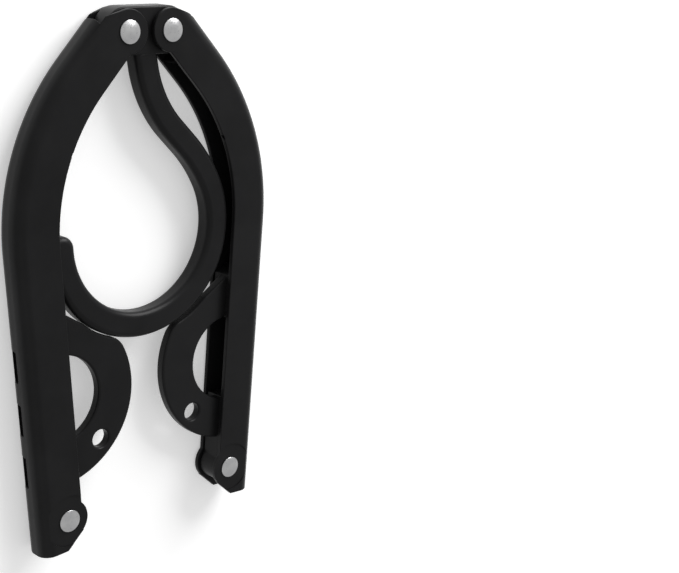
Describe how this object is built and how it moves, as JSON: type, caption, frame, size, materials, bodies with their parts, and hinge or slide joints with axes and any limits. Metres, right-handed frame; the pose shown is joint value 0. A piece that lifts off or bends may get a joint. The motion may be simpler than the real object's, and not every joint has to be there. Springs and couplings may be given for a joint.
{
  "type": "folding travel hanger",
  "caption": "Travel clothes hanger folded flat: curved channel arms riveted to a hook's hinge plate, each closing over an extension arm with a crescent plate.",
  "frame": {"origin": "on the table plane under the middle of the folded hanger's bounding box", "axes": "+Z is the hanger's front, the side of the larger rivet heads, with the hanger lying on its back caps. +Y runs from the ring of the hook to the hinge plate, so in use -Y is up. +X is the right arm's side seen from the front."},
  "size_m": [0.0976, 0.1692, 0.0131],
  "materials": {
    "black_plastic": "satin moulded black plastic",
    "rivet_metal": "bright smooth bare metal"
  },
  "bodies": {
    "hook": {"hook": "black_plastic", "rivet_top_left": "rivet_metal", "rivet_cap_top_left": "rivet_metal", "rivet_top_right": "rivet_metal", "rivet_cap_top_right": "rivet_metal"},
    "left_arm": {"left_arm": "black_plastic", "rivet_tip_left": "rivet_metal", "rivet_cap_tip_left": "rivet_metal"},
    "right_arm": {"right_arm": "black_plastic", "rivet_tip_right": "rivet_metal", "rivet_cap_tip_right": "rivet_metal"},
    "left_extension": {"left_extension": "black_plastic"},
    "right_extension": {"right_extension": "black_plastic"}
  },
  "joints": [
    {"name": "left_arm_fold", "type": "hinge", "parent": "hook", "child": "left_arm", "pos_m": [-0.00795, 0.07728, 0.00655], "axis": [0, 0, -1], "range_deg": [0, 114]},
    {"name": "left_extension_fold", "type": "hinge", "parent": "left_arm", "child": "left_extension", "pos_m": [-0.03277, -0.07373, 0.00655], "axis": [0, 0, -1], "range_deg": [0, 171]},
    {"name": "right_arm_fold", "type": "hinge", "parent": "hook", "child": "right_arm", "pos_m": [0.00795, 0.07728, 0.00655], "axis": [0, 0, 1], "range_deg": [0, 114]},
    {"name": "right_extension_fold", "type": "hinge", "parent": "right_arm", "child": "right_extension", "pos_m": [0.03277, -0.07373, 0.00655], "axis": [0, 0, 1], "range_deg": [0, 171]}
  ],
  "couplings": [
    {"joint": "left_extension_fold", "follows": "left_arm_fold", "ratio": 1.5},
    {"joint": "right_extension_fold", "follows": "right_arm_fold", "ratio": 1.5}
  ]
}
